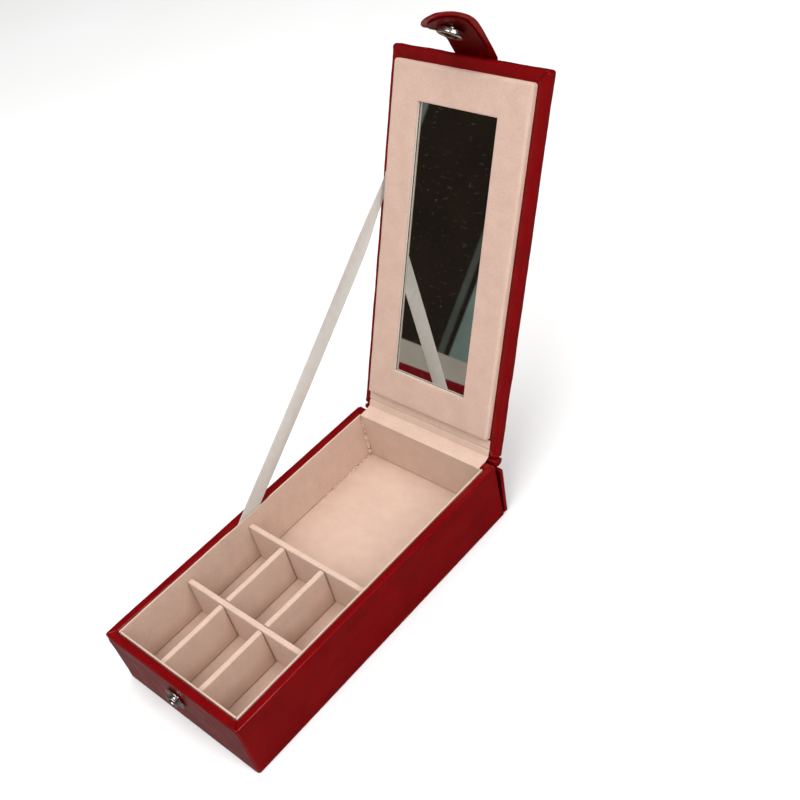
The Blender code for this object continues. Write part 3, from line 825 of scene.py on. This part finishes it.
def hinge_roll():
    """The leather that joins spine and lid, rolled full at the fold: a rounded section along x.

    The section runs from the rim's back edge, under the lid's end, round the lid's outer corner
    and down on the spine's top. The section is smoothed, and slow waves pucker it.
    """
    half = node_box("hinge_leather")[1][0]
    corner = on_side(lid_place, [(-0.25, -0.2), (-0.25, -3.4), (-0.3, -6.3)])
    section = [(94.9, 35.9), *corner, (101.9, 32.6), (100.3, 31.0), (98.3, 30.45)]
    section += [(96.9, 30.9), (96.3, 32.6), (95.0, 34.2)]
    loop = spaced(section + section[:1], 0.45)[:-1]
    for _ in range(5):
        loop = (np.roll(loop, 1, 0) + 2 * loop + np.roll(loop, -1, 0)) / 4
    out = unit(loop - loop.mean(0))
    end = 0.8
    edge = half - np.array((0, 0.1, 0.35))
    x = np.concatenate((-edge, np.linspace(end - half, half - end, 90), edge[::-1]))
    taper = 0.7 * (1 - np.sqrt(np.clip(1 - (1 - (half - abs(x)) / end).clip(0) ** 2, 0, 1)))
    grid = np.zeros((len(x), len(loop), 3))
    grid[..., 0] = x[:, None]
    grid[..., 1:] = loop
    pucker = 0.16 * waves(grid, 11, 44) + 0.08 * waves(grid, 4, 45) - 0.14 - taper[:, None]
    grid[..., 1:] += pucker[..., None] * out[None]
    roll = solid(
        "hinge_roll_leather", grid, RED, stands_for=("hinge_leather",), sharp=75
    )
    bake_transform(roll)


def hinge_velvet():
    """The velvet strip over the back rim and up the lid, creased along the rim and the lid's foot.

    Its line is a smooth curve through the rear lining's top, the rim, the hinge and the lid's
    inner face; two narrow bells along it press the creases in.
    """
    half = node_box("hinge_lining")[1][0]
    foot = on_side(lid_place, [(s, 0.35) for s in (1.2, 3.0, 5.0, 7.5, PANEL_REAR - 0.15)])
    rear = node_box("rear_lining")[0][1]
    rim = TRAY_TOP + 0.27
    path = [(rear - 0.1, rim - 0.25), (rear + 1.2, rim - 0.02)]
    path += [(TRAY_HALF_LENGTH - 2.5, rim + 0.02), (TRAY_HALF_LENGTH - 0.2, rim + 0.05)]
    path = np.array(path + [(HINGE_Y - 1.7, rim + 0.35)] + foot.tolist())
    along = np.concatenate(([0], np.cumsum(np.linalg.norm(np.diff(path, axis=0), axis=1))))
    t = np.linspace(0, along[-1], 60)
    line = smoothed(np.stack([np.interp(t, along, path[:, i]) for i in (0, 1)], 1), 6)

    def creases(x, line):
        """Grooves 8.6 and 12.4 mm along the strip, at the rim's back edge and up the lid."""
        place = t[:, None] + 0.25 * waves(np.stack((x, 0 * x, 0 * x), -1), 30, 47)
        groove = -0.5 * bump(place - 8.6, 0.5) - 0.5 * bump(place - 12.4, 0.42)
        return groove + 0.05 * waves(np.stack((x, 0 * x + t[:, None], 0 * x), -1), 9, 48) + 0.04

    grid = band(line, np.full(len(t), half), 0.42, 141, creases)
    strip = solid(
        "hinge_velvet_strip", grid, VELVET, stands_for=("hinge_lining",), sharp=75
    )
    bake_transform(strip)


# ---------------------------------------------------------------- ribbon


def ribbon():
    """The satin stay: a surface ruled between its two edges, in a plane beside the left lining.

    Each edge is a straight run from the pocket to the lid, and over the last fifth it bends to
    its own place there. A low arch across the ribbon keeps the satin from lying flat.
    """
    plane = node_box("ribbon_stay")[0][0] + 0.2
    foot = np.array((RIBBON_ON_RIM, TRAY_TOP))
    head, top_end, low_end = on_side(lid_place, [(s, 0.45) for s in (RIBBON_ON_LID, 127.5, 114.5)])
    run = head - foot
    length = np.linalg.norm(run)
    along = run / length
    side = np.array((-along[1], along[0]))
    t = np.concatenate((np.linspace(-RIBBON_TAIL / length, 0.86, 90), np.linspace(0.862, 1, 50)))
    edges = []
    for sign, end in ((1, top_end), (-1, low_end)):
        begin = foot + sign * side * RIBBON_HALF_WIDTH
        shift = (end - begin - run)[None] * ramp(t, 0.80, 1.0)[:, None]
        edges.append(begin + np.outer(t, run) + shift)
    across, round_edge = flat_ring(15)
    share = (1 + across[None, :, None]) / 2
    yz = edges[0][:, None] * share + edges[1][:, None] * (1 - share)
    free = (ramp(t, 0.01, 0.2) * (1 - ramp(t, 0.75, 0.98)))[:, None]
    t = t[:, None]
    arch = 0.55 * (1 - across[None] ** 2) * np.sin(5 * t + 0.6) + 0.5 * np.sin(3.1 * t)
    x = plane + 0.13 * round_edge[None] + free * arch
    grid = np.concatenate((x[..., None], yz), -1)
    stay = solid("ribbon_satin_stay", grid, SATIN, stands_for=("ribbon_stay",))
    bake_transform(stay)


def ribbon_tab():
    """The ribbon's folded end on the lid: a thin slanted tab from the lid's border to the panel."""
    share = np.linspace(0, 1, 24)[:, None]
    s = 114.2 + 14 * share
    outer_edge = -44.15
    across, round_edge = flat_ring(11)
    x = outer_edge + (1.6 + 2.2 * share) * (1 + across[None]) / 2
    slant = s + 0.35 * (x - outer_edge)
    d = 0.42 + 0.14 * round_edge[None] + 0.12 * bump(s - 121, 2.2)
    grid = lid_place(np.stack((x, slant, d), -1))
    solid("ribbon_folded_tab", grid, SATIN, "lid")


# ---------------------------------------------------------------- strap


def strap_line(along, offset):
    """(forward, down) on the snapped strap, offset outwards: an arc from the lid, then straight."""
    reach = TRAY_HALF_LENGTH - STRAP_AXIS_FORWARD + SOCKET_OFF_WALL + SOCKET_DEPTH
    reach += SOCKET_TO_PLY + STRAP_HALF_THICK
    radius = reach / (1 - math.sin(STRAP_FIRST))
    bend = radius * (math.pi / 2 - STRAP_FIRST)
    heading = STRAP_FIRST + np.clip(along, 0, bend) / radius
    over = np.clip(along - bend, 0, None)
    forward = radius * (np.sin(heading) - math.sin(STRAP_FIRST)) + over * np.cos(heading)
    down = radius * (math.cos(STRAP_FIRST) - np.cos(heading)) + over * np.sin(heading)
    forward = forward + offset * np.sin(heading)
    down = down - offset * np.cos(heading)
    return np.stack((forward, down), -1)


def curled(grid):
    """The strap's left edge curls in a little more than its right one.

    Each point turns about the strap's hinge by an angle that grows with its distance from the
    hinge and is opposite at the two edges.
    """
    gap = grid[..., 1:] - np.array((STRAP_Y, STRAP_Z))
    far = np.linalg.norm(gap, axis=-1)
    angle = -STRAP_TWIST * grid[..., 0] / STRAP_HALF_WIDTH * ramp(far, 3, 26)
    c, s = np.cos(angle), np.sin(angle)
    out = grid.copy()
    out[..., 1] = STRAP_Y + gap[..., 0] * c - gap[..., 1] * s
    out[..., 2] = STRAP_Z + gap[..., 0] * s + gap[..., 1] * c
    return out


def strap_ply(first, border, offset):
    """A ply's line and half widths: straight sides, then a half circle at the end."""
    half = STRAP_HALF_WIDTH - border
    tip = STRAP_LENGTH - STRAP_HALF_WIDTH
    angle = np.linspace(0, math.radians(87), 26)
    sides = np.linspace(first, tip - 0.5, 22)
    along = np.concatenate((sides, tip + half * np.sin(angle)))
    widths = np.concatenate((np.full(len(sides), half), half * np.cos(angle)))
    return on_side(strap_place, strap_line(along, offset)), widths


def uneven(x, line):
    """A slow lift across a strap ply."""
    place = np.broadcast_to(line[:, None, :], x.shape + (2,))
    return 0.06 * waves(np.concatenate((x[..., None], place), -1), 8, 61)


def strap():
    """Outer ply and the tail that holds it on the lid, inset inner ply, and the snap's parts.

    Each ply is a flat tube along its line. The snap's parts are turned about the stud's axis.
    """
    tail = [(168.0, -7.5), (172, -7.62), (178, -7.65), (184, -7.62), (186.2, -7.5)]
    tail = on_side(lid_place, tail + [(187.6, -7.3), (188.8, -6.9), (189.7, -6.2), (190.4, -5.4)])
    free, widths = strap_ply(1.6, 0, 0.5)
    steps = np.linspace(0, len(tail) - 1, 34)
    line = np.stack([np.interp(steps, np.arange(len(tail)), tail[:, i]) for i in (0, 1)], 1)
    line = np.concatenate((line, free))
    bend_end = len(steps) + 10
    line[:bend_end] = smoothed(line, 4)[:bend_end]
    tail_half = STRAP_HALF_WIDTH * np.sqrt(np.clip(1 - (1 - steps / 9).clip(0) ** 2.6, 0.02, 1))
    half = np.concatenate((tail_half, widths))
    outer = solid(
        "strap_outer_ply", curled(band(line, half, 1.0, 33, uneven)), RED,
        stands_for=("strap_leather", "strap_anchor"), sharp=75,
    )
    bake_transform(outer)
    line, widths = strap_ply(3.4, 2.9, -0.55)
    # The inner ply's darker red is partly painted shade.
    solid(
        "strap_inner_ply", curled(band(line, widths, 0.9, 33, uneven)), RED_DARK_PAINTED_SHADE,
        "strap", stands_for=("strap_lining",), sharp=75,
    )
    out = strap_place(np.array((0, 1.0, 0))) - strap_place(np.array((0, 0.0, 0)))
    forward = TRAY_HALF_LENGTH + SOCKET_OFF_WALL - STRAP_AXIS_FORWARD
    rim = strap_place(np.array((0, forward, STRAP_AXIS_UP - STUD_HEIGHT)))
    socket = [(4.2, 0.35), (4.5, 0.05), (5.4, 0.0)] + arc((5.7, 0.7), 0.7, -70, 20, 6)
    socket += [(6.4, 2.1), (6.1, 2.55), (2.1, 2.6), (2.1, 2.15), (4.8, 2.1), (4.95, 1.0)]
    socket += [(4.6, 0.6)]
    lathe("snap_socket_pressing", socket, rim, out, "strap", ("snap_socket",), True)
    cap = [(0, 1.3), (1.2, 1.33), (2.0, 1.42), (2.35, 1.6), (2.35, 1.8), (1.7, 1.85), (1.7, 5.7)]
    cap += [(5.6, 5.7), (6.1, 5.8), (6.25, 6.0), (5.9, 6.3), (5.0, 6.6), (3.6, 6.9), (1.8, 7.05)]
    lathe("snap_cap_dome", cap + [(0, 7.1)], rim, out, "strap", ("snap_cap",), False)


# ---------------------------------------------------------------- what the CAD already shapes


def refinish():
    """The hidden boards, cards, mirror, rivet and spring keep their shape and get their finish."""
    boards = [side + "_wall_board" for side in ("front", "rear", "left", "right")]
    boards += ["bottom_board", "lid_board", "mirror_backing", "mirror_spacer", "panel_card"]
    finishes = dict.fromkeys(boards, BOARD)
    finishes.update(spine_board=RED_DARK_PAINTED_SHADE, lid_foam=WADDING, mirror=MIRROR)
    finishes.update(stud_rivet=NICKEL, socket_spring=NICKEL)
    for node, finish in finishes.items():
        for slot in frame["nodes"][node].material_slots:
            slot.material = finish


# ---------------------------------------------------------------- floor, light and camera


def staged(name, corners, finish, at=(0, 0, 0), turned=0.0):
    """One quad of the stage, turned about +Z and placed."""
    mesh = bpy.data.meshes.new(name)
    mesh.from_pydata(corners, [], [(0, 1, 2, 3)])
    mesh.materials.append(finish)
    holder = bpy.data.objects.new(name, mesh)
    bpy.context.scene.collection.objects.link(holder)
    holder.location = at
    holder.rotation_euler = (0, 0, turned)
    return holder


def room_card(name, corners, colour, at, turned=0.0, bands=(), lower=()):
    """A glowing card that only reflections see: a painted reflection, in upright bands of a dim room
    over lower layers.

    Each band has a colour and the two distances along the card where it starts and ends; each
    lower layer a colour and the height it reaches. A noise keeps every part uneven.
    """
    glow = bpy.data.materials.new(name + "_reflection_glow")
    glow.use_nodes = True
    tree = glow.node_tree
    tree.nodes.remove(tree.nodes["Principled BSDF"])
    place = add(tree, "ShaderNodeTexCoord").outputs["Object"]
    along, _, height = add(tree, "ShaderNodeSeparateXYZ", {0: place}).outputs
    shade = ranged(tree, noise(tree, place, 9.0, 3), NOISE_SPAN, (0.85, 1.12))
    tone = add(tree, "ShaderNodeRGB").outputs[0]
    tone.default_value = linear(colour)
    for of_band, low, high in bands:
        inside = ranged(tree, along, (low - 0.002, low + 0.002))
        past = ranged(tree, along, (high + 0.002, high - 0.002))
        both = add(tree, "ShaderNodeMath", {0: inside, 1: past}, operation="MULTIPLY").outputs[0]
        tone = mixed(tree, both, tone, of_band)
    for of_layer, high in lower:
        tone = mixed(tree, ranged(tree, height, (high + 0.001, high - 0.001)), tone, of_layer)
    shaded = add(tree, "ShaderNodeVectorMath", {0: tone, "Scale": shade}, operation="SCALE")
    light = add(tree, "ShaderNodeEmission", {"Color": shaded.outputs[0], "Strength": 1.0})
    tree.links.new(light.outputs[0], tree.nodes["Material Output"].inputs[0])
    glowing = staged(name, corners, glow, at, turned)
    glowing.visible_diffuse = False
    glowing.visible_shadow = False
    glowing.visible_camera = False


def room():
    """A pale floor, a card of painted reflection for the mirror (a dim room, the tray's red rim and
    the floor beyond), and a pale card for the front's sheen.
    """
    paper, tree, shader, place = start("white_paper_floor", Roughness=0.9)
    tree.links.new(blotches(tree, place, 0.2, 2, "#fbfbfa", "#fefefe"), shader.inputs["Base Color"])
    ground = staged("floor", [(-4, -4, 0), (4, -4, 0), (4, 4, 0), (-4, 4, 0)], paper)
    ground.visible_glossy = False
    upright = [(0, 0, -0.02), (1.68, 0, -0.02), (1.68, 0, 0.9), (0, 0, 0.9)]
    # Painted reflection for the mirror: the bands are a dim room, and the lower layers are the
    # tray's left rim (red) and the floor beyond it (warm grey).
    bands = (("#6a736e", -1.0, 0.862), ("#4a4e48", 1.025, 1.037), ("#6f7d78", 1.047, 9.0))
    lower = (("#a39a90", 0.073), ("#6b1219", 0.035))
    facing = math.atan2(-1.35, 1.0)
    room_card("painted_mirror_reflection", upright, "#27201b", (-1.35, -0.10, 0), facing, bands, lower)
    level = [(0, 0, 0), (0.4, 0, 0), (0.4, 0.36, 0), (0, 0.36, 0)]
    room_card("front_sheen", level, "#7a7472", (-0.25, -0.45, -0.05))


def lights():
    """A soft white world that reflections don't see, and three softboxes."""
    world = bpy.data.worlds.new("studio")
    bpy.context.scene.world = world
    world.use_nodes = True
    back = world.node_tree.nodes["Background"]
    back.inputs["Color"].default_value = (1.0, 1.0, 1.0, 1)
    back.inputs["Strength"].default_value = 0.55
    world.cycles_visibility.glossy = False
    # Name, place, the point it faces, size, watts, and whether reflections see it.
    lamps = (
        ("overhead_softbox", (-0.1, 0.0, 1.5), (0, 0, 0), 1.4, 12, False),
        ("front_softbox", (0.35, -0.85, 1.2), (0, 0, 0.08), 0.7, 7, True),
        ("right_softbox", (1.0, 0.05, 0.85), (0, 0, 0.05), 0.4, 6, True),
    )
    for name, at, aim, size, power, reflected in lamps:
        lamp = bpy.data.lights.new(name, "AREA")
        lamp.size = size
        lamp.energy = power
        holder = bpy.data.objects.new(name, lamp)
        bpy.context.scene.collection.objects.link(holder)
        holder.location = at
        holder.visible_glossy = reflected
        x, y, z = np.array(aim, float) - np.array(at, float)
        holder.rotation_euler = (math.atan2(math.hypot(x, y), -z), 0, math.atan2(-x, y))


def camera():
    """A 48 mm lens in front of the case's right side, looking down, with its frame shifted."""
    eye = bpy.data.cameras.new("camera")
    eye.lens = 47.622
    eye.sensor_width = 36
    eye.shift_x = -0.0215
    eye.shift_y = 0.0998
    eye.clip_start = 0.01
    holder = bpy.data.objects.new("camera", eye)
    bpy.context.scene.collection.objects.link(holder)
    holder.location = (0.32365, -0.18229, 0.41701)
    holder.rotation_euler = Euler([math.radians(a) for a in (44.876, 10.6423, 40.4146)], "XYZ")
    bpy.context.scene.camera = holder
    bpy.context.scene.view_settings.view_transform = "Standard"


tray_cover()
linings()
dividers()
gathered_corner()
stud()
lid_cover()
panel_cover()
back_spine()
hinge_roll()
hinge_velvet()
ribbon()
ribbon_tab()
strap()
refinish()
room()
lights()
camera()
